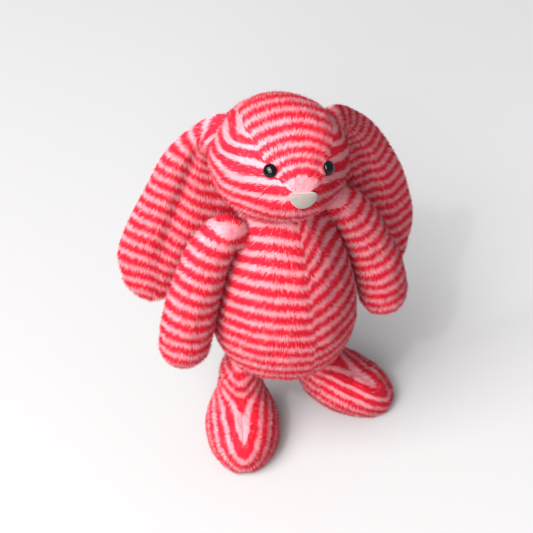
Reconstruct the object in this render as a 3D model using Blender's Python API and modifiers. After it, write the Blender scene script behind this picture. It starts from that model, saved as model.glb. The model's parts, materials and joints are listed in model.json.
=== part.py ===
"""A standing lop-eared toy rabbit: sewn plush panels over stuffing, with hinged head, ears, limbs and tail.

Metres, +Z up. The rabbit faces -Y and stands with its soles on z = 0. Its own right side is at -X.
Each sewn panel is a thin shell cut from one soft form, and the stuffing is the same form drawn in.
"""

import math

import bmesh
import bpy
from mathutils import Matrix, Vector

MM = 0.001
GAP = 0.3 * MM  # clear space between touching pieces
SKIN = 1.4 * MM  # backing cloth of the plush
INSET = 2.6 * MM  # from the outside of the cloth to the stuffing
SEAM = 0.6 * MM  # from a seam's line to the edge of the cloth on either side

# Torso: height and radius down its outline, from the seat to the neck
TORSO_OUTLINE = [(66, 5), (70, 24), (79, 39), (95, 49), (116, 52.5), (141, 49.5), (167, 42), (189, 33), (205, 25)]
TORSO_DEPTH = 0.97  # front to back over side to side
BEAN_TOP = 90 * MM
STUFFING_TOP = 202 * MM

# Head: an egg with a muzzle, turned to the rabbit's right on the neck, tilted to its left and looking up a little
HEAD_CENTRE = Vector((-3, 2, 247)) * MM
HEAD_SIZE = Vector((44, 44.5, 40)) * MM
HEAD_TURN = math.radians(-13)
HEAD_TILT = math.radians(8)
NOSE_LIFT = math.radians(7)
MUZZLE_LENGTH = 8 * MM
MUZZLE_SPREAD = 0.62
FACE_START = 0.10  # angle from the tip of the nose, in radians
CROWN_BACK = 1.90
CROWN_END = 2.95
GUSSET_HALF = math.radians(40)
GUSSET_FLARE = math.radians(18)  # wider towards the nose
GUSSET_SPREAD = 0.85
NECK = Vector((0, 2, 208)) * MM

# Face
EYE_ANGLE = 0.61  # from the tip of the nose
EYE_RADIUS = 4.7 * MM
SHANK_RADIUS = 1.5 * MM
WASHER_RADIUS = 5.6 * MM
WASHER_THICK = 1.2 * MM
NOSE_WIDTH = 0.255  # half the patch, as an angle on the head
NOSE_HEIGHT = 0.17
NOSE_THICK = 1.0 * MM

# Ears: sewn to the head along part of the crown seam, then a line down the middle of each, with half widths.
# The turned head sets the right ear back and brings the left one forward.
EAR_ROOT_ANGLE = 1.84  # from the tip of the nose
EAR_ROOT_TURNS = (math.radians(92), math.radians(52))  # from straight up: the root's lower and upper ends
EAR_ROOT_SHARE = 0.3  # of the ear's length that the gathered root takes
EAR_LINES = {
    "right": [(-47, 26, 263), (-50, 38, 241), (-58, 44, 208), (-69, 47, 175), (-77, 49, 146), (-80, 49, 118)],
    "left": [(48, 15, 254), (63, 22, 233), (81, 27, 195), (92, 27, 156), (97, 25, 121), (97, 23, 89)],
}
EAR_HALF = [13, 16, 21, 25.5, 25.5, 8]
EAR_CUP = 6 * MM
EAR_CLOTH = 2.0 * MM
EAR_LAYER_GAP = 0.8 * MM
EAR_ROOT_GAP = 5 * MM  # from the head to the middle of the ear's sewn edge

# Arms: a line down the middle of each, with radii. The left one hangs a little forward.
ARM_LINES = {
    "right": [(-45, 4, 196), (-55.5, 4, 182), (-65.5, 3, 159), (-72.5, 2, 136), (-77, 1, 114)],
    "left": [(45, 2, 194), (55.5, -1, 179), (66, -5, 155), (73, -9, 130), (77, -11, 106)],
}
ARM_RADIUS = [12, 15, 16.5, 18, 17.5]
ARM_DEPTH = 0.92  # front to back over side to side

# Legs: rings above the sole: height, centre, half length, half width, along and across the foot
LEG_RINGS = [
    (2.6, -17.5, 34.5, 22.5), (8, -18, 38.5, 26), (16, -18, 39, 26.5), (24, -16, 36, 25),
    (31, -11, 28.5, 21), (37, -5, 20.5, 17), (44, -1, 15.5, 14.6), (54, 0, 13.8, 13.8), (63, 0, 10.5, 10.5),
]
HIP = Vector((31, 9, 54)) * MM  # of the left leg
FOOT_STEP = {"right": Vector((0, 1, 0)) * MM, "left": Vector((15, 2, 0)) * MM}  # from under the hip
FOOT_SPLAY = {"right": math.radians(-25), "left": math.radians(31)}
LEG_INSET = 5 * MM  # the instep slopes, so the stuffing is drawn in further
FOOT_BEAN_TOP = 15 * MM
SOLE_THICK = 2.2 * MM
SOLE_SIZE = Vector((21.5, 33.5)) * MM

# Tail
TAIL_CENTRE = Vector((0, 65.5, 92)) * MM
TAIL_RADIUS = 17 * MM
TAIL_ROOT = Vector((0, 50, 92)) * MM

RED = (0.86, 0.07, 0.10, 1)
PINK = (0.90, 0.50, 0.58, 1)
FIBRE = (0.93, 0.93, 0.91, 1)
BEANS = (0.82, 0.80, 0.74, 1)
NOSE = (0.80, 0.62, 0.58, 1)
BLACK = (0.01, 0.01, 0.012, 1)
WASHER_WHITE = (0.85, 0.85, 0.83, 1)

SIDES = {"right": -1, "left": 1}  # the way along X from the middle


def clear_scene():
    for obj in list(bpy.data.objects):
        bpy.data.objects.remove(obj)


def collection(name):
    made = bpy.data.collections.new(name)
    bpy.context.scene.collection.children.link(made)
    return made


def material(name, colour, roughness):
    made = bpy.data.materials.new(name)
    made.use_nodes = True
    shader = made.node_tree.nodes["Principled BSDF"]
    shader.inputs["Base Color"].default_value = colour
    shader.inputs["Roughness"].default_value = roughness
    shader.inputs["Metallic"].default_value = 0.0
    made.diffuse_color = colour
    return made


def smooth_line(points, t):
    """The point at t, from 0 to 1, on a Catmull-Rom curve through points of any dimension."""
    spans = len(points) - 1
    at = min(max(t, 0.0), 1.0) * spans
    i = min(int(at), spans - 1)
    f = at - i

    def point(k):
        if k < 0:
            return [2 * a - b for a, b in zip(points[0], points[1])]
        if k > spans:
            return [2 * a - b for a, b in zip(points[-1], points[-2])]
        return points[k]

    before, start, end, after = (point(i + k) for k in (-1, 0, 1, 2))
    return [
        0.5 * (2 * b + (c - a) * f + (2 * a - 5 * b + 4 * c - d) * f * f + (3 * b - a - 3 * c + d) * f**3)
        for a, b, c, d in zip(before, start, end, after)
    ]


def steps(low, high, count):
    return [low + (high - low) * i / count for i in range(count + 1)]


def seam_angle(radius):
    """The angle that a seam's half width takes up on a ring of this radius."""
    return math.asin(min(SEAM / max(radius, 0.1 * MM), 0.9))


def between_seams(start, end, radius, count):
    """Angles round a ring from one seam to the next, kept clear of both."""
    edge = seam_angle(radius)
    return steps(start + edge, end - edge, count)


def grid_mesh(name, rows, ring=False, capped=False):
    """A surface through rows of points. A ring joins each row's ends; caps close the first and last rows."""
    bm = bmesh.new()
    lines = [[bm.verts.new(p) for p in row] for row in rows]
    across = len(rows[0])
    last = across if ring else across - 1
    for lower, upper in zip(lines, lines[1:]):
        for i in range(last):
            j = (i + 1) % across
            bm.faces.new((lower[i], lower[j], upper[j], upper[i]))
    if capped:
        for line in (lines[0], lines[-1]):
            centre = bm.verts.new(sum((v.co for v in line), Vector()) / across)
            for i in range(across):
                bm.faces.new((line[i], line[(i + 1) % across], centre))
    bmesh.ops.recalc_face_normals(bm, faces=bm.faces)
    mesh = bpy.data.meshes.new(name)
    bm.to_mesh(mesh)
    bm.free()
    mesh.shade_smooth()
    return mesh


def point_outwards(mesh, inside):
    """Turns an open surface's faces away from a point behind it."""
    away = sum((f.normal.dot(f.center - inside) * f.area for f in mesh.polygons))
    if away < 0:
        mesh.flip_normals()


def place(name, mesh, mat, parent):
    obj = bpy.data.objects.new(name, mesh)
    mesh.materials.append(mat)
    PARTS.objects.link(obj)
    hang(obj, parent)
    return obj


def hang(obj, parent):
    """Parents an object whose mesh is drawn in world places, without moving it."""
    obj.parent = parent
    obj.matrix_parent_inverse = parent.matrix_world.inverted()


def pivot(name, at):
    empty = bpy.data.objects.new(name, None)
    empty.location = at
    empty.empty_display_size = 10 * MM
    PARTS.objects.link(empty)
    bpy.context.view_layer.update()
    return empty


def panel(name, rows, inside, mat, parent, thick=SKIN, ring=False, offset=-1):
    """A sewn panel: the surface that rows give, made into cloth of the given thickness, inwards unless offset says."""
    mesh = grid_mesh(name, rows, ring)
    point_outwards(mesh, inside)
    obj = place(name, mesh, mat, parent)
    shell = obj.modifiers.new("cloth", "SOLIDIFY")
    shell.thickness = thick
    shell.offset = offset
    shell.use_rim = True
    return obj


def filling(name, rows, mat, parent):
    return place(name, grid_mesh(name, rows, ring=True, capped=True), mat, parent)


# ---- torso


def torso_point(t, angle, inset=0.0):
    """On the torso: t runs from seat to neck, angle goes round from the rabbit's right (-X) by the front."""
    height, radius = smooth_line(TORSO_OUTLINE, t)
    low, high = TORSO_OUTLINE[0][0], TORSO_OUTLINE[-1][0]
    middle = (low + high) / 2
    shrink = 1 - inset / MM / (high - middle)
    z = (middle + (height - middle) * shrink) * MM
    r = max(radius * MM - inset, 1.5 * MM)
    return Vector((-math.cos(angle) * r, -math.sin(angle) * r * TORSO_DEPTH, z))


def torso_at_height(z, inset):
    """The share t of the outline at which the inset torso has height z."""
    low, high = 0.0, 1.0
    for _ in range(40):
        mid = (low + high) / 2
        if torso_point(mid, 0, inset).z < z:
            low = mid
        else:
            high = mid
    return low


def make_torso():
    root = pivot("torso_frame", (0, 0, 0))
    inside = Vector((0, 0, 120)) * MM
    quarter = math.pi / 2
    names = ["body_front_right", "body_front_left", "body_back_left", "body_back_right"]
    for i, name in enumerate(names):
        rows = []
        for t in steps(0, 1, 13):
            radius = smooth_line(TORSO_OUTLINE, t)[1] * MM
            angles = between_seams(i * quarter, (i + 1) * quarter, radius, 6)
            rows.append([torso_point(t, a) for a in angles])
        cloth = RED_PLUSH if i % 2 == 0 else PINK_PLUSH
        panel(name, rows, inside, cloth, root)

    turns = [2 * math.pi * i / 20 for i in range(20)]
    split = torso_at_height(BEAN_TOP, INSET)
    split_gap = torso_at_height(BEAN_TOP + GAP, INSET)
    top = torso_at_height(STUFFING_TOP, INSET)
    beans = [[torso_point(t, a, INSET) for a in turns] for t in steps(0, split, 4)]
    filling("seat_bean_bag", beans, BEAN_CLOTH, root)
    fibre = [[torso_point(t, a, INSET) for a in turns] for t in steps(split_gap, top, 8)]
    filling("torso_stuffing", fibre, FIBRE_FILL, root)
    return root


# ---- head

HEAD_POSE = (
    Matrix.Rotation(HEAD_TURN, 3, "Z") @ Matrix.Rotation(HEAD_TILT, 3, "Y") @ Matrix.Rotation(-NOSE_LIFT, 3, "X")
)


def head_point(theta, turn, grow=0.0):
    """On the head: theta runs from the tip of the nose to the back, turn goes round it from the left (+X) by the top."""
    across = math.sin(theta)
    muzzle = MUZZLE_LENGTH * math.exp(-((theta / MUZZLE_SPREAD) ** 2))
    local = Vector((
        (HEAD_SIZE.x + grow) * across * math.cos(turn),
        -(HEAD_SIZE.y + grow) * math.cos(theta) - muzzle,
        (HEAD_SIZE.z + grow) * across * math.sin(turn),
    ))
    return HEAD_CENTRE + HEAD_POSE @ local


def head_normal(theta, turn):
    small = 1e-3
    along = head_point(theta + small, turn) - head_point(theta - small, turn)
    round_ = head_point(theta, turn + small) - head_point(theta, turn - small)
    normal = along.cross(round_).normalized()
    if normal.dot(head_point(theta, turn) - HEAD_CENTRE) < 0:
        normal.negate()
    return normal


def gusset_half(theta):
    """Half the forehead gusset's width, as an angle round the nose."""
    return GUSSET_HALF + GUSSET_FLARE * math.exp(-((theta / GUSSET_SPREAD) ** 2))


def make_head():
    root = pivot("head_turn_axis", NECK)
    up = math.pi / 2
    thetas = steps(FACE_START, CROWN_BACK, 11)

    rows = []
    for h in thetas:
        half = gusset_half(h)
        angles = between_seams(up - half, up + half, HEAD_SIZE.x * math.sin(h), 6)
        rows.append([head_point(h, a) for a in angles])
    gusset = panel("forehead_gusset", rows, HEAD_CENTRE, PINK_PLUSH, root)

    pieces = {"gusset": gusset}
    for side, sign in SIDES.items():
        rows = []
        for h in thetas:
            angles = between_seams(gusset_half(h), math.pi, HEAD_SIZE.x * math.sin(h), 7)
            rows.append([head_point(h, up - sign * a) for a in angles])
        pieces[side] = panel("head_side_" + side, rows, HEAD_CENTRE, RED_PLUSH, root)

    turns = [2 * math.pi * i / 22 for i in range(22)]
    back_edge = CROWN_BACK + 2 * SEAM / HEAD_SIZE.y
    rows = [[head_point(h, a) for a in turns] for h in steps(back_edge, CROWN_END, 6)]
    panel("head_back", rows, HEAD_CENTRE, RED_PLUSH, root, ring=True)

    rows = [[head_point(h, a, -INSET) for a in turns] for h in steps(0.12, math.pi - 0.12, 12)]
    stuffing = filling("head_stuffing", rows, FIBRE_FILL, root)

    make_nose(root)
    for side, sign in SIDES.items():
        make_eye(side, sign, root, (gusset, pieces[side]), stuffing)
    return root


def nose_edge(turn):
    """The patch's outline, as an angle from the tip of the nose: a wide rounded triangle, point down."""
    x, z = math.cos(turn), math.sin(turn)
    wide = NOSE_WIDTH * (1 + 0.28 * z)
    tall = NOSE_HEIGHT * (1.25 if z < 0 else 0.85)
    return 1 / math.sqrt((x / wide) ** 2 + (z / tall) ** 2)


def make_nose(root):
    turns = [2 * math.pi * i / 20 for i in range(20)]
    rows = []
    for share in steps(0.08, 1, 4):
        row = []
        for a in turns:
            theta = nose_edge(a) * share
            row.append(head_point(theta, a) + head_normal(theta, a) * (2 * GAP + NOSE_THICK))
        rows.append(row)
    panel("nose_patch", rows, HEAD_CENTRE, NOSE_CLOTH, root, thick=NOSE_THICK, ring=True)


def eye_turn(sign):
    return math.pi / 2 - sign * gusset_half(EYE_ANGLE)


def turned(name, outline, mat, parent, frame, closed=False):
    """A turned piece: outline is (radius, height) down its outer side, spun about its own Z by a Screw."""
    bm = bmesh.new()
    verts = [bm.verts.new((r, 0, z)) for r, z in outline]
    for a, b in zip(verts, verts[1:] + verts[:1] if closed else verts[1:]):
        bm.edges.new((a, b))
    mesh = bpy.data.meshes.new(name)
    bm.to_mesh(mesh)
    bm.free()
    obj = place(name, mesh, mat, parent)
    spin = obj.modifiers.new("spin", "SCREW")
    spin.steps = 16
    spin.render_steps = 16
    spin.use_merge_vertices = True
    spin.merge_threshold = 1e-5
    spin.use_smooth_shade = True
    obj.matrix_parent_inverse = Matrix()
    obj.matrix_basis = parent.matrix_world.inverted() @ frame
    return obj


def cylinder_cutter(name, radius, low, high, frame, parent):
    bm = bmesh.new()
    middle = Matrix.Translation((0, 0, (low + high) / 2))
    bmesh.ops.create_cone(
        bm, cap_ends=True, segments=16, radius1=radius, radius2=radius, depth=high - low, matrix=middle
    )
    mesh = bpy.data.meshes.new(name)
    bm.to_mesh(mesh)
    bm.free()
    obj = bpy.data.objects.new(name, mesh)
    obj.matrix_world = frame
    obj.hide_render = True
    obj.display_type = "WIRE"
    CUTTERS.objects.link(obj)
    hang(obj, parent)
    return obj


def cut(obj, cutter):
    made = obj.modifiers.new(cutter.name, "BOOLEAN")
    made.operation = "DIFFERENCE"
    made.solver = "EXACT"
    made.object = cutter


def make_eye(side, sign, root, cloths, stuffing):
    """A bead on a shank through the seam, with a washer behind the cloth."""
    at = head_point(EYE_ANGLE, eye_turn(sign))
    out = head_normal(EYE_ANGLE, eye_turn(sign))
    frame = Matrix.Translation(at) @ out.to_track_quat("Z", "Y").to_matrix().to_4x4()
    base = 3 * GAP
    washer_top = -SKIN - 3 * GAP
    shank_end = washer_top - WASHER_THICK - 1.2 * MM

    dome = [(EYE_RADIUS * math.sin(a), base + 1.2 * MM + 3.2 * MM * math.cos(a)) for a in steps(0, math.pi / 2, 6)]
    outline = dome + [(EYE_RADIUS * 0.94, base), (SHANK_RADIUS, base), (SHANK_RADIUS, shank_end), (0, shank_end)]
    turned("eye_" + side, outline, EYE_BLACK, root, frame)

    hole = SHANK_RADIUS + GAP
    low = washer_top - WASHER_THICK
    ring = [(hole, washer_top), (WASHER_RADIUS, washer_top), (WASHER_RADIUS, low), (hole, low)]
    turned("eye_washer_" + side, ring, WASHER_PLASTIC, root, frame, closed=True)

    shank_cutter = cylinder_cutter("shank_hole_" + side, hole, washer_top - 6 * MM, 6 * MM, frame, root)
    for cloth in cloths:
        cut(cloth, shank_cutter)
    pocket = WASHER_RADIUS + 2 * GAP
    pocket_cutter = cylinder_cutter("washer_pocket_" + side, pocket, shank_end - GAP, 8 * MM, frame, root)
    cut(stuffing, pocket_cutter)


# ---- ears


def ear_frame(t, side):
    """On the ear's middle line at t: the place, and unit vectors across it and out of its front."""
    line = EAR_LINES[side]
    here, ahead, behind = (Vector(smooth_line(line, min(max(t + d, 0), 1))) for d in (0, 0.02, -0.02))
    along = (ahead - behind).normalized()
    front = HEAD_POSE @ Vector((SIDES[side] * 0.25, -1, 0.1))
    front = (front - along * front.dot(along)).normalized()
    across = along.cross(front) * -SIDES[side]
    return here * MM, across, front


def ear_half(t):
    """Half the ear's width at t, with a round tip."""
    tip = max(t - 0.86, 0) / 0.14
    return smooth_line([(w,) for w in EAR_HALF], min(t, 0.86))[0] * math.sqrt(max(1 - tip * tip, 0.03)) * MM


def ear_middle(side):
    """Rows across the ear's middle surface, from its sewn root to its tip."""
    rows = []
    low, high = EAR_ROOT_TURNS
    for t in steps(0, 0.86, 11) + [0.91, 0.95, 0.98, 1]:
        at, across, front = ear_frame(t, side)
        share = min(t / EAR_ROOT_SHARE, 1)
        share = share * share * (3 - 2 * share)
        row = []
        for s in steps(-1, 1, 6):
            free = at + across * (ear_half(t) * s) - front * (EAR_CUP * (1 - math.cos(1.3 * s)))
            turn = math.pi / 2 - SIDES[side] * (low + (high - low) * (s + 1) / 2)
            row.append(head_point(EAR_ROOT_ANGLE, turn, EAR_ROOT_GAP).lerp(free, share))
        rows.append(row)
    return rows


def make_ear(side):
    """Two layers of plush back to back, with no stuffing."""
    top_of_root = math.pi / 2 - SIDES[side] * EAR_ROOT_TURNS[1]
    root = pivot("ear_" + side + "_root", head_point(EAR_ROOT_ANGLE, top_of_root, EAR_ROOT_GAP))
    rows = ear_middle(side)
    middle, _, front = ear_frame(0.5, side)
    behind = middle - front * 200 * MM
    clear = 1 + EAR_LAYER_GAP / EAR_CLOTH  # a Solidify offset that leaves half the gap to the middle surface
    for layer, way, cloth in (("inner", 1, PINK_PLUSH), ("outer", -1, RED_PLUSH)):
        panel("ear_" + side + "_" + layer, rows, behind, cloth, root, thick=EAR_CLOTH, offset=way * clear)
    return root


# ---- limbs


def arm_ring(t, side, inset=0.0):
    """The middle, cross directions and radius of an arm at t, which runs past both ends as round caps."""
    inner = min(max(t, 0.0), 1.0)
    line = ARM_LINES[side]
    here, ahead, behind = (Vector(smooth_line(line, min(max(inner + d, 0), 1))) for d in (0, 0.02, -0.02))
    along = (ahead - behind).normalized()
    radius = smooth_line([(r,) for r in ARM_RADIUS], inner)[0] * MM - inset
    over = t - inner
    at = here * MM + along * (radius * math.sin(over))
    front = Vector((0, -1, 0))
    front = (front - along * front.dot(along)).normalized()
    return at, along.cross(front), front, radius * math.cos(over)


def arm_point(t, angle, side, inset=0.0):
    at, across, front, radius = arm_ring(t, side, inset)
    return at + across * (radius * math.cos(angle)) + front * (radius * ARM_DEPTH * math.sin(angle))


def make_arm(side):
    root = pivot("shoulder_" + side, Vector(ARM_LINES[side][0]) * MM)
    inside = Vector(ARM_LINES[side][2]) * MM
    shares = steps(-1.35, 0, 3)[:-1] + steps(0, 1, 7) + steps(1, 2.45, 4)[1:]
    for layer, start, cloth in (("front", 0, RED_PLUSH), ("back", math.pi, PINK_PLUSH)):
        rows = []
        for t in shares:
            angles = between_seams(start, start + math.pi, arm_ring(t, side)[3], 6)
            rows.append([arm_point(t, a, side) for a in angles])
        panel("arm_" + side + "_" + layer, rows, inside, cloth, root)
    turns = [2 * math.pi * i / 12 for i in range(12)]
    shares = [-1.3, -0.7] + steps(0, 1, 5) + [1.6, 2.1, 2.4]
    rows = [[arm_point(t, a, side, INSET) for a in turns] for t in shares]
    filling("arm_" + side + "_stuffing", rows, FIBRE_FILL, root)
    return root


def foot_place(local, side):
    """A point given along and across the foot, put under its hip; the leg leans from the hip to the foot."""
    hip = Vector((HIP.x * SIDES[side], HIP.y, 0))
    low = 1 - min(local.z / HIP.z, 1)
    return hip + FOOT_STEP[side] * low + Matrix.Rotation(FOOT_SPLAY[side], 3, "Z") @ local


def leg_point(t, angle, side, inset=0.0):
    """On a leg: t runs from the sole to the hip, angle goes round from the rabbit's right by the toe."""
    height, centre, length, width = smooth_line(LEG_RINGS, t)
    long_ = max(length * MM - inset, 1.5 * MM)
    wide = max(width * MM - inset, 1.5 * MM)
    local = Vector((-math.cos(angle) * wide, centre * MM - math.sin(angle) * long_, height * MM))
    return foot_place(local, side)


def leg_share(z):
    """The share t of the leg's rings at which its height is z."""
    low, high = 0.0, 1.0
    for _ in range(40):
        mid = (low + high) / 2
        if smooth_line(LEG_RINGS, mid)[0] * MM < z:
            low = mid
        else:
            high = mid
    return low


def make_leg(side):
    root = pivot("hip_" + side, Vector((HIP.x * SIDES[side], HIP.y, HIP.z)))
    inside = foot_place(Vector((0, -5, 20)) * MM, side)
    right_half = "outer" if side == "right" else "inner"
    left_half = "inner" if side == "right" else "outer"
    for layer, start, cloth in ((right_half, -0.5, RED_PLUSH), (left_half, 0.5, PINK_PLUSH)):
        rows = []
        for t in steps(0, 1, 12):
            radius = smooth_line(LEG_RINGS, t)[3] * MM
            angles = between_seams(start * math.pi, (start + 1) * math.pi, radius, 7)
            rows.append([leg_point(t, a, side) for a in angles])
        panel("leg_" + side + "_" + layer, rows, inside, cloth, root)

    turns = [2 * math.pi * i / 16 for i in range(16)]
    floor, split, split_gap, top = (
        leg_share(z) for z in (SOLE_THICK + 4 * GAP, FOOT_BEAN_TOP, FOOT_BEAN_TOP + GAP, 60.5 * MM)
    )
    beans = [[leg_point(t, a, side, INSET) for a in turns] for t in steps(floor, split, 3)]
    filling("foot_bean_bag_" + side, beans, BEAN_CLOTH, root)
    fibre = [[leg_point(t, a, side, LEG_INSET) for a in turns] for t in steps(split_gap, top, 7)]
    filling("leg_" + side + "_stuffing", fibre, FIBRE_FILL, root)

    make_sole(side, root)
    return root


def make_sole(side, root):
    """A flat oval of plush that closes the foot."""
    centre = LEG_RINGS[0][1] * MM
    turns = [2 * math.pi * i / 24 for i in range(24)]
    rows = []
    for z, inset in ((0, 1.2 * MM), (0.8 * MM, 0), (SOLE_THICK, 0)):
        row = []
        for a in turns:
            across = (SOLE_SIZE.x - inset) * math.cos(a)
            along = centre + (SOLE_SIZE.y - inset) * math.sin(a)
            row.append(foot_place(Vector((across, along, z)), side))
        rows.append(row)
    filling("sole_" + side, rows, PINK_PLUSH, root)


# ---- tail


def make_tail():
    root = pivot("tail_root", TAIL_ROOT)
    turns = [2 * math.pi * i / 16 for i in range(16)]

    def ball(theta, angle, radius):
        """theta runs from the outer end of the tail to the side sewn to the body."""
        away = Vector((math.sin(theta) * math.cos(angle), math.cos(theta), math.sin(theta) * math.sin(angle)))
        return TAIL_CENTRE + away * radius

    rows = [[ball(h, a, TAIL_RADIUS) for a in turns] for h in steps(0.12, 2.45, 9)]
    panel("tail_cover", rows, TAIL_CENTRE, PINK_PLUSH, root, ring=True)
    rows = [[ball(h, a, TAIL_RADIUS - INSET) for a in turns] for h in steps(0.2, 2.4, 7)]
    filling("tail_stuffing", rows, FIBRE_FILL, root)
    return root


def centre_over_origin(root):
    """Moves the whole rabbit so that the bottom centre of the box round it is at the world's origin."""
    bpy.context.view_layer.update()
    view = bpy.context.evaluated_depsgraph_get()
    low = Vector((math.inf,) * 3)
    high = -low
    for obj in PARTS.objects:
        if obj.type == "MESH":
            shown = obj.evaluated_get(view)
            for vertex in shown.data.vertices:
                at = shown.matrix_world @ vertex.co
                low = Vector(map(min, low, at))
                high = Vector(map(max, high, at))
    root.location -= Vector(((low.x + high.x) / 2, (low.y + high.y) / 2, low.z))


clear_scene()
PARTS = collection("stuffed_rabbit")
CUTTERS = collection("cutters")
RED_PLUSH = material("red_plush", RED, 0.95)
PINK_PLUSH = material("pink_plush", PINK, 0.95)
FIBRE_FILL = material("polyester_fibre", FIBRE, 1.0)
BEAN_CLOTH = material("bean_bag_cloth", BEANS, 0.9)
NOSE_CLOTH = material("nose_velveteen", NOSE, 0.8)
EYE_BLACK = material("black_gloss_plastic", BLACK, 0.08)
WASHER_PLASTIC = material("washer_plastic", WASHER_WHITE, 0.5)

torso = make_torso()
head = make_head()
for side in SIDES:
    hang(make_ear(side), head)
    hang(make_arm(side), torso)
    hang(make_leg(side), torso)
hang(make_tail(), torso)
hang(head, torso)
centre_over_origin(torso)
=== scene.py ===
"""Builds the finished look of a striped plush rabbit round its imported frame."""

import json
import math

import bpy
import numpy as np
from mathutils import Matrix, Vector


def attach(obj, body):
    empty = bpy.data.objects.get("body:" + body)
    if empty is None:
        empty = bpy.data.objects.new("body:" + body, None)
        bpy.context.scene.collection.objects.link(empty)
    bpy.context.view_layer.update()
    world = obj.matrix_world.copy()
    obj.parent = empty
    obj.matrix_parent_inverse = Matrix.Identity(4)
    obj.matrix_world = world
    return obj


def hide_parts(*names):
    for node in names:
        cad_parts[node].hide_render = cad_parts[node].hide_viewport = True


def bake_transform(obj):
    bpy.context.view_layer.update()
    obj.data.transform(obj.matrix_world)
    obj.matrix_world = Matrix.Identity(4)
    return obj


bl_info = {
    "name": "Striped plush rabbit",
    "version": (1, 0, 0),
    "blender": (4, 5, 0),
    "location": "View3D > Sidebar > Plush",
    "description": "Sews and furs a standing toy rabbit round its packed frame",
    "category": "Object",
}

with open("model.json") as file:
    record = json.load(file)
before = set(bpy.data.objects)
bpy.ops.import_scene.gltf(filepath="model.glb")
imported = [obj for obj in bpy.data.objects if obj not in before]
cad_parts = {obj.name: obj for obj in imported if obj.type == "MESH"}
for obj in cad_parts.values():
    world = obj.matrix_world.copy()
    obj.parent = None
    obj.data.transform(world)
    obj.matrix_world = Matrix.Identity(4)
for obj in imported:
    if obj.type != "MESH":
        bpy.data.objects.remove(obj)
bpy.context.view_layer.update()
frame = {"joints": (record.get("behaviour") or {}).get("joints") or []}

MM = 0.001
SIDES = {"right": -1, "left": 1}  # the way along X from the middle

# The forms are drawn about a point on the floor under the torso. The frame's own zero is under
# the middle of the whole toy, so SHIFT takes one to the other.
NECK = np.array((0, 2, 208)) * MM


def joint(name):
    return next(j for j in frame["joints"] if j["name"] == name)


SHIFT = np.array(joint("head_nod")["pos_m"]) - NECK

# Torso: height and radius in millimetres, from the seat to inside the head
TORSO_OUTLINE = [
    (66, 5), (70, 24), (79, 39), (95, 49), (116, 52.5),
    (141, 49.5), (167, 42), (189, 33), (205, 25), (213, 18),
]
TORSO_DEPTH = 0.97  # front to back, as a share of the width
TORSO_MIDDLE = np.array((0, 0, 120)) * MM
TORSO_COLUMNS = 24  # in each gore
TORSO_REPEAT_START = 0.5

# Stripes of the torso follow a line on each side: its height, how far it arches, and the top and
# the half width of the arch in degrees round the torso
RIGHT_LINE, RIGHT_ARCH, RIGHT_TOP, RIGHT_SPAN = 161 * MM, 6.8 * MM, 50, 50
LEFT_LINE, LEFT_ARCH, LEFT_TOP, LEFT_SPAN = 158.5 * MM, 11.5 * MM, 130, 44
LINES_MEET = 89

# Head: an egg with a muzzle. Its angles run from the tip of the nose to the back of the head.
HEAD_CENTRE = np.array((-3, 2, 247)) * MM
HEAD_SIZE = np.array((44, 44.5, 40)) * MM
HEAD_POSE = np.array(
    Matrix.Rotation(math.radians(-13), 3, "Z")
    @ Matrix.Rotation(math.radians(8), 3, "Y")
    @ Matrix.Rotation(math.radians(-7), 3, "X")
)
MUZZLE_LENGTH = 8 * MM
MUZZLE_SPREAD = 0.62
CHEEK = 2.2 * MM  # how much fuller the head is behind the muzzle
CROWN_BACK = 1.90  # where the panel at the back begins
GUSSET_HALF = math.radians(40)
GUSSET_FLARE = math.radians(18)
GUSSET_SPREAD = 0.85
GUSSET_COLUMNS = 25
SIDE_COLUMNS = 29  # of each side panel, between its seams
EYE_ANGLE = 0.61
EYE_BEAD = 4.5 * MM
EYE_SINK = 0.9 * MM
EYE_SIDES = 40
NOSE_WIDTH = 0.255
NOSE_HEIGHT = 0.17
PALE_MUZZLE = 0.33  # how far up from the tip the muzzle stays pale

# A washer's outline in millimetres: radius, and height along the eye's stem
WASHER_OUTLINE = [(1.7, -4.6), (6.2, -4.6), (6.6, -5.0), (6.6, -5.8), (6.2, -6.2), (1.7, -6.2)]
WASHER_SIDES = 32

# Ears: the middle line and half the width in millimetres, from root to tip. Shares are of the length.
EAR_ROOT_ANGLE = 1.84
EAR_ROOT_TURNS = (math.radians(92), math.radians(46))
EAR_ROOT_SHARE = 0.3
EAR_ROOT_DEPTH = 3 * MM  # how far inside the head the root begins
EAR_ROOT_STEP = 8 * MM  # and how far it comes out
EAR_LINES = {
    "right": [(-47, 26, 263), (-50, 38, 241), (-58, 44, 208), (-69, 47, 175), (-77, 49, 146), (-80, 49, 118)],
    "left": [(48, 15, 254), (63, 22, 233), (81, 27, 195), (92, 27, 156), (97, 25, 121), (97, 23, 89)],
}
EAR_HALF = [13, 16, 21, 25.5, 25.5, 8]
EAR_TIP_START = 0.86
EAR_CUP = 6 * MM
EAR_CUP_TURN = 1.3
EAR_FOLD, EAR_FOLD_AT, EAR_FOLD_WIDTH = 3.5 * MM, -0.12, 0.2
EAR_LAYER = 2.0 * MM  # how far a layer stands off the middle surface
EAR_COLUMNS = 19
# The right ear is wider on the edge by the cheek, and its root sits a little higher
RIGHT_EAR_SPREAD, RIGHT_EAR_WIDEST, RIGHT_EAR_SPAN = 1.105, 0.40, 0.19
RIGHT_EAR_TRIM = 0.5 * MM
RIGHT_EAR_RISE, RIGHT_EAR_RISE_SHARE = 3.5 * MM, 0.28
# The left ear starts nearer the head than its line and hangs further out, in millimetres
LEFT_EAR_WAY = np.array((0.883, -0.469, 0))
LEFT_EAR_IN, LEFT_EAR_OUT = 4, 3

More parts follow.
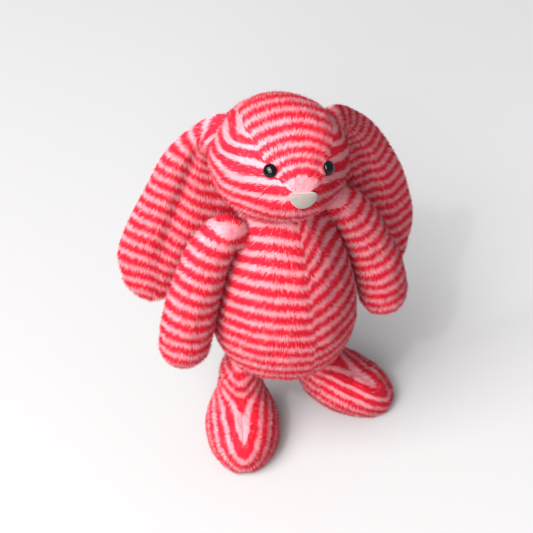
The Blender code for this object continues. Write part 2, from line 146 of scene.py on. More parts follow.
# Arms: the middle line and the radius in millimetres, from inside the torso to the paw
ARM_LINES = {
    "right": [(-28, 4, 189), (-43, 4, 197), (-55.5, 4, 183), (-65.5, 3, 159), (-72.5, 2, 136), (-77, 1, 114)],
    "left": [(27, 2, 186), (41.5, 2, 193), (53.5, -1, 179), (64, -5, 155), (72, -9, 130), (77, -11, 106)],
}
ARM_RADIUS = [10, 14.5, 16.8, 18.2, 19.5, 19]
ARM_DEPTH = 0.92
ARM_COLUMNS = 36
ARM_START = {"right": 0.15, "left": 0.35}  # where the stripes begin, in repeats
LIMB_REPEAT = 9.6 * MM  # of the stripes on arms and ears
SHOULDER_TUFT = np.array((0, -8, 9)) * MM  # from the shoulder to the middle of its pale tuft
SHOULDER_TUFT_SIZE = 9 * MM

# Legs: height, middle, half length and half width of each ring in millimetres, from sole to hip
LEG_RINGS = [
    (2.6, -17.5, 34.5, 22.5), (8, -18, 38.5, 27), (16, -18, 39.5, 28), (24, -16, 37, 26.5),
    (31, -11, 30, 23), (37, -5, 23, 19.5), (44, -1, 18.5, 17.5), (54, 0, 17, 16.8),
    (63, 0, 15.5, 15.5), (73, 0, 12, 12), (85, 0, 7, 7),
]
LEG_COLUMNS = 56
LEG_SLACK = 3.4 * MM
LEG_REPEAT = 9.8 * MM
LEG_LEAN = 7 * MM  # how far inwards a leg's top leans, so that the torso covers it
HIP = np.array((31, 9, 54)) * MM
FOOT_STEP = {"right": np.array((2, 1, 0)) * MM, "left": np.array((18, 4, 0)) * MM}
FOOT_SPLAY = {"right": math.radians(-25), "left": math.radians(31)}
SOLE_SIZE = np.array((21.5, 33.5)) * MM
SOLE_HEIGHT, SOLE_RIM = 1.6 * MM, 1.2 * MM

TAIL_CENTRE = np.array((0, 65.5, 92)) * MM
TAIL_RADIUS = 17 * MM
TAIL_SLACK = 3.0 * MM

CELL = 3.2 * MM  # grid of the forms
SLACK = 3.2 * MM  # how far inside the frame's cloth a form starts
SWELL = 2.0 * MM  # and how far its stuffing may push it out
STUFFING_FRAMES = 20
STUFFING = {
    "quality": 4,
    "mass": 0.01,
    "use_pressure": True,
    "uniform_pressure_force": 5,
    "tension_stiffness": 0.08,
    "compression_stiffness": 0.05,
    "shear_stiffness": 0.03,
    "bending_stiffness": 0.002,
    "vertex_group_mass": "seams",
}

BACKING_THICKNESS = 0.9 * MM
PILE_SEAM = 2.5 * MM  # the pile is shorter within this of a seam
ROOT_DEPTH = 0.4 * MM
GUARD_SHARE = 0.09  # of the tufts, which are longer, thinner and stray more
GUARD_LENGTH, GUARD_THICKNESS, GUARD_STRAY = 1.25, 0.8, 2.2
SWAPPED_SHARE = 0.02  # of the tufts, which have the other stripe's colour
TUFT_SHADING = 0.85  # how far a tuft's shading follows its own lean, against the cloth's


# ---- what a user would change


class PileSettings(bpy.types.PropertyGroup):
    length: bpy.props.FloatProperty(
        name="Length", description="Length of the pile", default=3.9 * MM, min=MM, unit="LENGTH"
    )
    thickness: bpy.props.FloatProperty(
        name="Tuft thickness",
        description="Radius of a tuft at its root",
        default=0.24 * MM,
        min=0.1 * MM,
        unit="LENGTH",
    )
    density: bpy.props.FloatProperty(
        name="Density", description="Tufts on each square millimetre", default=3.5, min=0.1
    )
    lean: bpy.props.FloatProperty(
        name="Lean", description="How far the nap lies over, as sideways over upwards", default=0.52, min=0
    )
    fuzz: bpy.props.FloatProperty(
        name="Stripe fuzz",
        description="How far tufts stray over a stripe's edge, in repeats",
        default=0.04,
        min=0,
    )


class StripeSettings(bpy.types.PropertyGroup):
    pale_share: bpy.props.FloatProperty(
        name="Pale share", description="Share of each repeat that is pale", default=0.38, subtype="FACTOR"
    )
    body_repeat: bpy.props.FloatProperty(
        name="Repeat", description="Width of one red and one pale stripe", default=9.5 * MM, unit="LENGTH"
    )


COLOUR = {"size": 3, "subtype": "COLOR", "min": 0, "max": 1}


class ColourSettings(bpy.types.PropertyGroup):
    red: bpy.props.FloatVectorProperty(
        name="Red", description="Coral red pile", default=(0.88, 0.013, 0.044), **COLOUR
    )
    pale: bpy.props.FloatVectorProperty(
        name="Pale", description="Pale pink pile", default=(0.97, 0.36, 0.415), **COLOUR
    )
    nose: bpy.props.FloatVectorProperty(
        name="Nose", description="Velveteen of the nose", default=(0.245, 0.212, 0.188), **COLOUR
    )
    floor: bpy.props.FloatVectorProperty(
        name="Floor", description="Plain pale floor", default=(0.455, 0.453, 0.457), **COLOUR
    )


class StageSettings(bpy.types.PropertyGroup):
    azimuth: bpy.props.FloatProperty(
        name="Azimuth",
        description="Where the camera stands round the toy",
        default=math.radians(-28),
        subtype="ANGLE",
    )
    elevation: bpy.props.FloatProperty(
        name="Elevation",
        description="How far the camera looks down",
        default=math.radians(42),
        subtype="ANGLE",
    )
    distance: bpy.props.FloatProperty(
        name="Distance",
        description="From the camera to the middle of the toy",
        default=0.95,
        unit="LENGTH",
    )
    view_width: bpy.props.FloatProperty(
        name="View width",
        description="What the camera sees across at the middle of the toy",
        default=0.375,
        unit="LENGTH",
    )
    key_power: bpy.props.FloatProperty(
        name="Key light",
        description="Power of the large light on the rabbit's right",
        default=225.0,
        unit="POWER",
    )
    sky: bpy.props.FloatProperty(
        name="Sky", description="Strength of the light from all round", default=0.46, min=0
    )


# ---- shader nodes


class Value:
    """A node's output socket, so that shader maths reads as an expression."""

    def __init__(self, graph, socket):
        self.graph = graph
        self.socket = socket

    def maths(self, operation, *values):
        return self.graph.add("ShaderNodeMath", {"operation": operation}, *values)

    def __add__(self, other):
        return self.maths("ADD", self, other)

    def __radd__(self, other):
        return self.maths("ADD", other, self)

    def __sub__(self, other):
        return self.maths("SUBTRACT", self, other)

    def __rsub__(self, other):
        return self.maths("SUBTRACT", other, self)

    def __mul__(self, other):
        return self.maths("MULTIPLY", self, other)

    def __rmul__(self, other):
        return self.maths("MULTIPLY", other, self)

    def share(self):
        """The part after the decimal point."""
        return self.maths("FRACT", self)

    def distance(self, other):
        return self.maths("ABSOLUTE", self - other)


class Finish:
    """One material and its nodes."""

    def __init__(self, name, **plain):
        self.material = bpy.data.materials.new(name)
        self.material.use_nodes = True
        self.tree = self.material.node_tree
        self.shader = self.tree.nodes["Principled BSDF"]
        self.set(**plain)

    def set(self, **sockets):
        """Gives sockets of the main shader a value or a link."""
        for name, value in sockets.items():
            self.give(self.shader.inputs[name.replace("_", " ")], value)
        return self

    def give(self, socket, value):
        if isinstance(value, Value):
            self.tree.links.new(value.socket, socket)
        elif hasattr(value, "__len__") and len(value) == 3 and socket.type == "RGBA":
            socket.default_value = (*value, 1)
        else:
            socket.default_value = value

    def add(self, kind, settings, *values, out=0, **named):
        """A node of that kind: its settings first, then its sockets in order or by name."""
        node = self.tree.nodes.new(kind)
        for name, value in settings.items():
            setattr(node, name, value)
        for socket, value in zip(node.inputs, values):
            self.give(socket, value)
        for name, value in named.items():
            self.give(node.inputs[name.replace("_", " ")], value)
        return Value(self, node.outputs[out])

    def noise(self, scale, detail=2.0, roughness=0.5):
        place = self.add("ShaderNodeTexCoord", {}, out="Object")
        sockets = {"Vector": place, "Scale": scale, "Detail": detail, "Roughness": roughness}
        return self.add("ShaderNodeTexNoise", {}, **sockets)

    def smooth(self, value, low, high):
        settings = {"interpolation_type": "SMOOTHSTEP"}
        return self.add("ShaderNodeMapRange", settings, Value=value, From_Min=low, From_Max=high)

    def mix(self, share, first, second):
        """A colour between two. A Mix node's sockets for colours have the numbers used here."""
        node = self.tree.nodes.new("ShaderNodeMix")
        node.data_type = "RGBA"
        self.give(node.inputs[0], share)
        self.give(node.inputs[6], first)
        self.give(node.inputs[7], second)
        return Value(self, node.outputs[2])

    def bump(self, height, strength, distance):
        sockets = {"Height": height, "Strength": strength, "Distance": distance}
        return self.add("ShaderNodeBump", {}, **sockets, out="Normal")


def tinted(colour, factor):
    """A colour made darker or lighter."""
    return tuple(min(c * factor, 1.0) for c in colour)


def backing_cloth(name, colours, stripes):
    """Knitted backing between the roots of the pile, dyed in the same stripes, with its reds and pinks
    darkened below the pile's as painted shade under the pile.
    """
    made = Finish(name, Sheen_Weight=0.3, Sheen_Roughness=0.6)
    phase = made.add("ShaderNodeAttribute", {"attribute_name": "stripe"}, out="Fac")
    stray = made.noise(700, 3) - 0.5
    near = (phase + stray * 0.3).share().distance(0.5)
    edge = stripes.pale_share / 2
    pale = 1 - made.smooth(near, edge - 0.05, edge + 0.05)
    mottle = made.noise(260, 4, 0.6)
    # Painted shade: both tints sit below the pile's colours, standing in for the shade under the tufts; the
    # mottle between them is random tone
    dark = made.mix(mottle, tinted(colours.red, 0.62), tinted(colours.red, 0.9))
    light = made.mix(mottle, tinted(colours.pale, 0.72), tinted(colours.pale, 0.95))
    loops = made.noise(1500, 2)
    return made.set(
        Base_Color=made.mix(pale, dark, light),
        Roughness=0.82 + loops * 0.16,
        Normal=made.bump(loops, 0.5, 0.6 * MM),
    ).material


def pile_shades(colours):
    """Plain dyed tufts: three reds and three pinks, from dark to light."""
    dyes = {"red": (colours.red, (0.66, 0.93, 1.12)), "pink": (colours.pale, (0.8, 0.98, 1.12))}
    for name, (colour, factors) in dyes.items():
        for step, factor in enumerate(factors):
            Finish(
                f"{name}_tuft_{step + 1}",
                Base_Color=tinted(colour, factor),
                Roughness=0.75 + 0.05 * step,
                Specular_IOR_Level=0.25,
                Sheen_Weight=0.06,
                Sheen_Roughness=0.5,
                Sheen_Tint=(*tinted(colour, 1.2), 1),
            )


# ---- forms


def curve(points, share):
    """Points on a Catmull-Rom curve through points, at shares from 0 to 1 of its spans."""
    p = np.asarray(points, float)
    if p.ndim == 1:
        p = p[:, None]
    p = np.vstack([2 * p[0] - p[1], p, 2 * p[-1] - p[-2]])
    spans = len(points) - 1
    at = np.clip(share, 0, 1) * spans
    i = np.minimum(at.astype(int), spans - 1)
    f = (at - i)[..., None]
    a, b, c, d = (p[i + k] for k in range(4))
    return 0.5 * (2 * b + (c - a) * f + (2 * a - 5 * b + 4 * c - d) * f**2 + (3 * b - a - 3 * c + d) * f**3)


def unit(v):
    """Directions of length one."""
    return v / np.maximum(np.linalg.norm(v, axis=-1, keepdims=True), 1e-12)


def rows_and_columns(rows, columns):
    return np.meshgrid(rows, columns, indexing="ij")


def torso_form(t, angle, inset=0.0):
    """t runs from seat to neck, angle goes round from the rabbit's right by the front."""
    outline = curve(TORSO_OUTLINE, t)
    height, radius = outline[..., 0] * MM, outline[..., 1] * MM
    r = np.maximum(radius - inset, 0.5 * MM)
    height = height + inset * np.clip(1 - (height - 66 * MM) / (20 * MM), 0, 1)
    return np.stack([-np.cos(angle) * r, -np.sin(angle) * r * TORSO_DEPTH, height], -1)


def head_form(theta, turn, grow=0.0):
    """theta runs from the tip of the nose to the back, turn goes round it from the left by the top."""
    across = np.sin(theta)
    muzzle = MUZZLE_LENGTH * np.exp(-((theta / MUZZLE_SPREAD) ** 2))
    local = np.stack(
        [
            (HEAD_SIZE[0] + grow) * across * np.cos(turn),
            -(HEAD_SIZE[1] + grow) * np.cos(theta) - muzzle,
            (HEAD_SIZE[2] + grow) * across * np.sin(turn),
        ],
        -1,
    )
    return HEAD_CENTRE + local @ HEAD_POSE.T


def head_normal(theta, turn):
    """The way out of the head at a place on it."""
    small = 1e-3
    along = head_form(theta + small, turn) - head_form(theta - small, turn)
    round_ = head_form(theta, turn + small) - head_form(theta, turn - small)
    normal = unit(np.cross(along, round_))
    out = np.sum(normal * (head_form(theta, turn) - HEAD_CENTRE), -1, keepdims=True)
    return np.where(out < 0, -normal, normal)


def gusset_half(theta):
    """Half the gusset's width, which flares towards the nose."""
    return GUSSET_HALF + GUSSET_FLARE * np.exp(-((theta / GUSSET_SPREAD) ** 2))


def ear_form(t, s, side, raised=0.0):
    """t runs from root to tip, s from edge to edge, raised is how far in front of the middle surface."""
    sign = SIDES[side]
    line = np.array(EAR_LINES[side]) * MM
    here = curve(line, t)
    along = unit(curve(line, np.minimum(t + 0.02, 1)) - curve(line, np.maximum(t - 0.02, 0)))
    front = HEAD_POSE @ np.array((sign * 0.25, -1, 0.1))
    front = unit(front - along * np.sum(along * front, -1, keepdims=True))
    across = np.cross(along, front) * -sign
    tip = np.clip(t - EAR_TIP_START, 0, 1) / (1 - EAR_TIP_START)
    rounding = np.sqrt(np.maximum(1 - tip * tip, 0.0))
    half = curve(EAR_HALF, np.minimum(t, EAR_TIP_START))[..., 0] * rounding * MM
    cup = EAR_CUP * (1 - np.cos(EAR_CUP_TURN * s)) * rounding
    fold = EAR_FOLD * np.exp(-(((s - EAR_FOLD_AT) / EAR_FOLD_WIDTH) ** 2))
    cup = cup + fold * np.clip(t / 0.15, 0, 1) * np.clip((0.95 - t) / 0.5, 0, 1)
    if side == "right":
        spread = RIGHT_EAR_SPREAD * np.exp(-(((t - RIGHT_EAR_WIDEST) / RIGHT_EAR_SPAN) ** 2))
        half = half * (1 + spread * np.clip(-s, 0, 1)) - RIGHT_EAR_TRIM * np.clip(s, 0, 1)
        rise = RIGHT_EAR_RISE * np.exp(-((t / RIGHT_EAR_RISE_SHARE) ** 2))
        here = here + np.array((0, 0, 1)) * rise[..., None]
    else:
        out = (np.clip(t / 0.5, 0, 1) * (LEFT_EAR_IN + LEFT_EAR_OUT) - LEFT_EAR_IN) * MM
        here = here + LEFT_EAR_WAY * out[..., None]
    free = here + across * (half * s)[..., None] - front * cup[..., None]
    low, high = EAR_ROOT_TURNS
    turn = math.pi / 2 - sign * (low + (high - low) * (s + 1) / 2)
    grow = np.clip(t / 0.1, 0, 1) * EAR_ROOT_STEP - EAR_ROOT_DEPTH
    root = head_form(EAR_ROOT_ANGLE + 0 * t, turn, grow)
    share = np.clip(t / EAR_ROOT_SHARE, 0, 1)
    share = (share * share * (3 - 2 * share))[..., None]
    return root * (1 - share) + free * share + front * np.asarray(raised)[..., None]


def arm_form(t, angle, side, inset=0.0):
    """t runs from inside the torso to the paw, and past 1 round its end."""
    inner = np.clip(t, 0, 1)
    line = np.array(ARM_LINES[side]) * MM
    here = curve(line, inner)
    along = unit(curve(line, np.minimum(inner + 0.02, 1)) - curve(line, np.maximum(inner - 0.02, 0)))
    radius = curve(ARM_RADIUS, inner)[..., 0] * MM - inset
    over = t - inner
    at = here + along * (radius * np.sin(over))[..., None]
    front = unit(np.array((0, -1, 0)) + along * along[..., 1:2])
    ring = radius * np.cos(over)
    sides = np.cross(along, front) * (ring * np.cos(angle))[..., None]
    return at + sides + front * (ring * ARM_DEPTH * np.sin(angle))[..., None]


def leg_form(t, angle, side, inset=0.0):
    """t runs from sole to inside the torso, angle goes round from the rabbit's right by the toe."""
    ring = curve(LEG_RINGS, t) * MM
    height, centre = ring[..., 0], ring[..., 1]
    long_ = np.maximum(ring[..., 2] - inset, MM)
    wide = np.maximum(ring[..., 3] - inset, MM)
    local = np.stack([-np.cos(angle) * wide, centre - np.sin(angle) * long_, height], -1)
    return foot_place(local, side)


def foot_place(local, side):
    """Places about the middle of the leg, turned and moved to where the foot stands."""
    turn = np.array(Matrix.Rotation(FOOT_SPLAY[side], 3, "Z"))
    hip = np.array((HIP[0] * SIDES[side], HIP[1], 0))
    low = 1 - np.clip(local[..., 2:3] / HIP[2], 0, 1)
    upper = np.clip((local[..., 2:3] - 60 * MM) / (25 * MM), 0, 1)
    lean = upper * np.array((-SIDES[side] * LEG_LEAN, 0, 0))
    return hip + FOOT_STEP[side] * low + lean + local @ turn.T


# ---- sewing


def grid_faces(rows, columns, closed):
    """Faces over a grid of places, whose columns go all the way round if it is closed."""
    across = columns if closed else columns - 1
    i, j = np.meshgrid(np.arange(rows - 1), np.arange(across), indexing="ij")
    a, b = i * columns + j, i * columns + (j + 1) % columns
    return np.stack([a, b, b + columns, a + columns], -1).reshape(-1, 4)


def signed_volume(points, faces):
    """Over zero where the faces of a closed form look outwards."""
    total = 0.0
    for f in faces:
        for k in range(1, len(f) - 1):
            a, b, c = points[f[0]], points[f[k]], points[f[k + 1]]
            total += float(np.dot(a, np.cross(b, c)))
    return total


def facing_out(points, faces):
    """The faces of a closed form, turned if they look inwards."""
    if signed_volume(points - points.mean(0), faces) < 0:
        return [f[::-1] for f in faces]
    return faces


def linked(name, data):
    """An object of that data in the scene."""
    obj = bpy.data.objects.new(name, data)
    bpy.context.scene.collection.objects.link(obj)
    return obj


def new_object(name, points, faces):
    mesh = bpy.data.meshes.new(name)
    mesh.from_pydata([tuple(p) for p in points], [], [tuple(int(k) for k in f) for f in faces])
    mesh.shade_smooth()
    return linked(name, mesh)


def lathed(outline, count, at, out):
    """Places of an outline of (radius, height) turned round the line through at along out."""
    r, a = rows_and_columns(np.array([p[0] for p in outline]), 2 * math.pi * np.arange(count) / count)
    z = np.array([p[1] for p in outline])[:, None] + 0 * a
    local = np.stack([r * np.cos(a), r * np.sin(a), z], -1).reshape(-1, 3)
    return local @ np.array(out.to_track_quat("Z", "Y").to_matrix()).T + at


def stuffed(forms):
    """Blows up closed ring forms with cloth pressure, held at their seams, and gives their new places.

    forms maps a name to (places as rows by columns by 3, seam weights as rows by columns)."""
    scene = bpy.context.scene
    made = {}
    for name, (places, seam) in forms.items():
        rows, columns = places.shape[:2]
        points = np.vstack([places.reshape(-1, 3), places[0].mean(0), places[-1].mean(0)])
        faces = [tuple(f) for f in grid_faces(rows, columns, True)]
        first, last = rows * columns, rows * columns + 1
        for j in range(columns):
            k = (j + 1) % columns
            faces.append((first, k, j))
            faces.append((last, (rows - 1) * columns + j, (rows - 1) * columns + k))
        obj = new_object("sewn_" + name, points, faces)
        pins = obj.vertex_groups.new(name="seams")
        for i, weight in enumerate(seam.ravel()):
            if weight > 0:
                pins.add([i], float(weight), "REPLACE")
        pins.add([first, last], 1.0, "REPLACE")
        if signed_volume(points, faces) < 0:
            obj.data.flip_normals()
        cloth = obj.modifiers.new("stuffing", "CLOTH")
        for setting, value in STUFFING.items():
            setattr(cloth.settings, setting, value)
        cloth.settings.effector_weights.gravity = 0
        cloth.point_cache.frame_end = STUFFING_FRAMES
        made[name] = obj
    for number in range(1, STUFFING_FRAMES + 1):
        scene.frame_set(number)
    view = bpy.context.evaluated_depsgraph_get()
    result = {}
    for name, obj in made.items():
        shown = obj.evaluated_get(view).data
        places = forms[name][0]
        moved = np.zeros(len(shown.vertices) * 3, np.float32)
        shown.vertices.foreach_get("co", moved)
        moved = moved.reshape(-1, 3)[: places.size // 3].reshape(places.shape).astype(float)
        away = moved - places
        size = np.linalg.norm(away, axis=-1, keepdims=True)
        result[name] = places + away * np.minimum(1, SWELL / np.maximum(size, 1e-9))
    for obj in made.values():
        mesh = obj.data
        bpy.data.objects.remove(obj)
        bpy.data.meshes.remove(mesh)
    scene.frame_set(1)
    return result


class Cloth:
    """A panel of plush: a grid of places with the stripe's phase and the way the nap is brushed.

    inside is a point behind the cloth. long_pile is the length of the pile against the usual, and
    parting is how much of it the seams take away."""

    def __init__(self, places, phase, brushed, inside, long_pile=1.0, parting=0.3):
        self.places = places + SHIFT
        self.phase = phase
        self.brushed = unit(brushed)
        down, across = np.gradient(places, axis=0), np.gradient(places, axis=1)
        normal = unit(np.cross(down, across))
        if np.sum(normal * (places - inside)) < 0:
            normal = -normal
        self.normal = normal
        column = np.arange(phase.shape[1])
        from_seam = np.minimum(column, column[::-1]) * CELL
        self.long_pile = long_pile * (1 - parting * np.exp(-((from_seam / PILE_SEAM) ** 2))) + 0 * phase

    def backing(self, name, finish):
        rows, columns = self.phase.shape
        faces = grid_faces(rows, columns, False)
        a, b, d = (self.places.reshape(-1, 3)[faces[:, k]] for k in (0, 1, 3))
        facing = np.sum(np.cross(b - a, d - a) * self.normal.reshape(-1, 3)[faces[:, 0]])
        if facing < 0:
            faces = faces[:, ::-1]
        obj = new_object(name, self.places.reshape(-1, 3), faces)
        stripe = obj.data.attributes.new("stripe", "FLOAT", "POINT")
        stripe.data.foreach_set("value", self.phase.astype(np.float32).ravel())
        obj.data.materials.append(finish)
        shell = obj.modifiers.new("cloth", "SOLIDIFY")
        shell.thickness = BACKING_THICKNESS
        shell.offset = -1
        return obj

    def scattered(self, density, rng):
        """Tuft roots spread evenly over the panel: which cell, and where in it."""
        p = self.places
        a, b, c, d = p[:-1, :-1], p[1:, :-1], p[1:, 1:], p[:-1, 1:]
        halves = (np.cross(b - a, d - a), np.cross(c - d, c - b))
        area = sum(np.linalg.norm(half, axis=-1) for half in halves) / 2
        count = int(area.sum() / MM**2 * density)
        cell = rng.choice(area.size, count, p=(area / area.sum()).ravel())
        return cell // area.shape[1], cell % area.shape[1], rng.random(count), rng.random(count)

    def at(self, values, spots):
        """Values of the grid, read between its points."""
        i, j, f, g = spots
        f, g = (x if values.ndim == 2 else x[:, None] for x in (f, g))
        low = values[i, j] * (1 - g) + values[i, j + 1] * g
        high = values[i + 1, j] * (1 - g) + values[i + 1, j + 1] * g
        return low * (1 - f) + high * f


def tuft_mesh(name, roots, tips, normals, radius, shade, finishes):
    """One object of many tufts, each a slim closed pyramid on a three-sided root."""
    count = len(roots)
    axis = unit(tips - roots)
    side = unit(np.cross(axis, np.roll(axis, 1, axis=1) + np.array((0.31, 0.17, 0.05))))
    other = np.cross(axis, side)
    corners = []
    for k in range(3):
        a = 2 * math.pi * k / 3
        corners.append(roots + (side * math.cos(a) + other * math.sin(a)) * radius[:, None])
    points = np.stack([*corners, tips], 1).reshape(-1, 3)
    pattern = np.array([(0, 1, 3), (1, 2, 3), (2, 0, 3), (0, 2, 1)])
    loops = (pattern[None] + 4 * np.arange(count)[:, None, None]).reshape(-1)
    mesh = bpy.data.meshes.new(name)
    mesh.vertices.add(len(points))
    mesh.vertices.foreach_set("co", points.astype(np.float32).ravel())
    mesh.loops.add(len(loops))
    mesh.loops.foreach_set("vertex_index", loops.astype(np.int32))
    mesh.polygons.add(4 * count)
    mesh.polygons.foreach_set("loop_start", np.arange(0, len(loops), 3, dtype=np.int32))
    for finish in finishes:
        mesh.materials.append(finish)
    mesh.polygons.foreach_set("material_index", np.repeat(shade, 4).astype(np.int32))
    mesh.polygons.foreach_set("use_smooth", np.ones(4 * count, bool))
    mesh.update(calc_edges=True)
    soft = unit(normals + TUFT_SHADING * axis)
    mesh.normals_split_custom_set_from_vertices(np.repeat(soft, 4, axis=0))
    return linked(name, mesh)


class Workroom:
    """What every operator shares: the settings and the finishes, made once."""

    def __init__(self, scene):
        self.pile = scene.plush_pile
        self.stripes = scene.plush_stripes
        self.colours = scene.plush_colours
        if "plush_backing" not in bpy.data.materials:
            backing_cloth("plush_backing", self.colours, self.stripes)
            pile_shades(self.colours)
        self.backing = bpy.data.materials["plush_backing"]
        self.shades = [bpy.data.materials[f"{c}_tuft_{k}"] for c in ("red", "pink") for k in (1, 2, 3)]

    def grow_pile(self, name, cloth, seed, density=1.0, length=1.0, wild=0.13, bare=()):
        """The pile of one panel, coloured by the stripe under each root.

        bare holds the middle and radius of each round spot that the pile leaves clear."""
        rng = np.random.default_rng(seed)
        spots = cloth.scattered(self.pile.density * density, rng)
        root = cloth.at(cloth.places, spots)
        normal = unit(cloth.at(cloth.normal, spots))
        brushed = unit(cloth.at(cloth.brushed, spots))
        phase = cloth.at(cloth.phase, spots)
        long_pile = cloth.at(cloth.long_pile, spots)
        count = len(root)
        brushed = unit(brushed - normal * np.sum(brushed * normal, -1, keepdims=True))
        clump = np.sin(root @ np.array((900, 700, 500))) * np.sin(root @ np.array((-400, 800, 950)))
        lean = brushed * (self.pile.lean * (1 + 0.2 * clump))[:, None]
        aim = normal + lean + rng.normal(0, wild, (count, 3))
        size = self.pile.length * length * long_pile * rng.uniform(0.7, 1.12, count)
        guard = rng.random(count) < GUARD_SHARE
        aim = aim + np.where(guard[:, None], rng.normal(0, GUARD_STRAY * wild, (count, 3)), 0)
        size = size * np.where(guard, GUARD_LENGTH, 1)
        keep = np.ones(count, bool)
        for centre, radius in bare:
            away = root - centre
            far = np.linalg.norm(away, axis=1)
            keep &= far > radius
            near = np.clip(1 - (far - radius) / (3 * MM), 0, 1)
            aim = aim + unit(away) * near[:, None] * 0.9
            size = size * (1 - 0.45 * near)
        aim = unit(aim)
        stray = phase + rng.normal(0, self.pile.fuzz, count)
        pale = np.abs(stray - np.floor(stray) - 0.5) < self.stripes.pale_share / 2
        pale = pale ^ (rng.random(count) < SWAPPED_SHARE)
        dim = rng.normal(0, 0.55, count) + 0.5 * clump
        shade = np.clip(np.round(dim + 1), 0, 2).astype(int) + np.where(pale, 3, 0)
        tips = root + aim * size[:, None]
        radius = self.pile.thickness * rng.uniform(0.8, 1.2, count) * np.where(guard, GUARD_THICKNESS, 1)
        root = root - normal * ROOT_DEPTH
        parts = (root, tips, normal, radius, shade)
        return tuft_mesh(name, *(p[keep] for p in parts), self.shades)


def hold(obj, body, blend=None):
    """Rides a piece on a body, or, when a blend is given, bakes its place into its mesh instead: blend is
    (other body, start, end), whose parts are not used.
    """
    if blend:
        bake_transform(obj)
    else:
        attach(obj, body)


def sew(room, node, cloth, body, seed, slot, hides=(), blend=None, fill=0.8, **pile):
    """Makes one panel's backing and pile and fastens both."""
    backing = cloth.backing("cloth_" + node, room.backing)
    tufts = room.grow_pile("pile_" + node, cloth, seed, **pile)
    for obj in (backing, tufts):
        hold(obj, body, blend)
    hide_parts(node, *hides)


def seam_pins(angles, seams, width):
    """Weights that hold a form's columns at the seams."""
    off = np.abs((angles[..., None] - np.array(seams) + math.pi) % (2 * math.pi) - math.pi).min(-1)
    return np.clip(1.25 - off / width, 0, 1)


# ---- stripes: phases in repeats, 0.5 is the middle of a pale stripe


def torso_phase(height, angle, repeat):
    """Arched over each front quarter, with a steeper arch on the rabbit's left."""
    turn = np.degrees(angle)
    turn = np.where(turn > 180, 360 - turn, turn)
    right = RIGHT_LINE - RIGHT_ARCH * ((turn - RIGHT_TOP) / RIGHT_SPAN) ** 2
    rise = np.clip((height / MM - 90) / 95, 0.25, 1.1) * LEFT_ARCH
    left = LEFT_LINE + rise * (1 - ((turn - LEFT_TOP) / LEFT_SPAN) ** 2)
    line = np.where(turn < LINES_MEET, right, left)
    return (height - line) / repeat + TORSO_REPEAT_START


# ---- operators


class PlushOperator:
    bl_options = {"REGISTER", "UNDO"}

    def execute(self, context):
        self.build(Workroom(context.scene))
        return {"FINISHED"}


class RABBIT_OT_body(PlushOperator, bpy.types.Operator):
    """Sew the four gores of the torso"""

    bl_idname = "rabbit.body"
    bl_label = "Body"

    def build(self, room):
        around = 4 * TORSO_COLUMNS
        turns = 2 * math.pi * np.arange(around) / around
        t, a = rows_and_columns(np.linspace(0, 1, 56), turns)
        start = torso_form(t, a, SLACK)
        pins = seam_pins(a, [0, math.pi / 2, math.pi, 3 * math.pi / 2], 0.06)
        pins = np.maximum(pins, np.clip((t - 0.9) / 0.05, 0, 1))
        placed = stuffed({"torso": (start, pins)})["torso"]
        names = ["body_front_right", "body_front_left", "body_back_left", "body_back_right"]
        hides = {"body_front_right": ["torso_stuffing"], "body_back_left": ["seat_bean_bag"]}
        neck = ("torso", np.array((0, 2, 190)) * MM, np.array((0, 2, 210)) * MM)
        for i, name in enumerate(names):
            columns = np.arange(i * TORSO_COLUMNS, (i + 1) * TORSO_COLUMNS + 1)
            places = placed[:, columns % around]
            angle = columns * 2 * math.pi / around + 0 * t[:, :1]
            angle = np.where(np.arange(len(columns)) == 0, angle + 0.001, angle - 0.001)  # clear of a seam
            phase = torso_phase(places[..., 2], angle, room.stripes.body_repeat)
            cloth = Cloth(places, phase, -np.gradient(places, axis=0), TORSO_MIDDLE)
            slot = "red_plush" if i % 2 == 0 else "pink_plush"
            sew(room, name, cloth, "head", 10 + i, slot, hides.get(name, ()), blend=neck)


